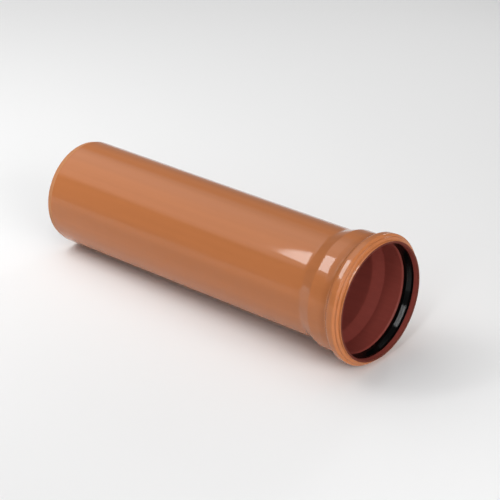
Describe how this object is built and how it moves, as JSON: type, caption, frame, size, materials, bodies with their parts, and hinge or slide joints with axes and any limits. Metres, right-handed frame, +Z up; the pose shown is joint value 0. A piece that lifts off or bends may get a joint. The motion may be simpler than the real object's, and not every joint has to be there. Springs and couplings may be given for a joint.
{
  "type": "socketed pvc sewer pipe",
  "caption": "Round plastic drain pipe with a formed socket, a beaded ring groove, a rubber sealing ring and a chamfered plain end.",
  "frame": {"origin": "on the floor, under the middle of the pipe, halfway between its two ends", "axes": "+X along the pipe towards its socket, +Y to its left, +Z up; the axis of the pipe lies in the XZ plane and rises 1.56 degrees towards the socket, because the pipe rests on its bead and on the end of its barrel"},
  "size_m": [0.5832, 0.1898, 0.19],
  "materials": {
    "pvc": "glossy extruded, clay brown outside and dark red-brown inside",
    "rubber": "smooth moulded, lightly lubricated"
  },
  "bodies": {
    "root": {"pipe": "pvc", "sealing_ring": "rubber"}
  },
  "joints": []
}
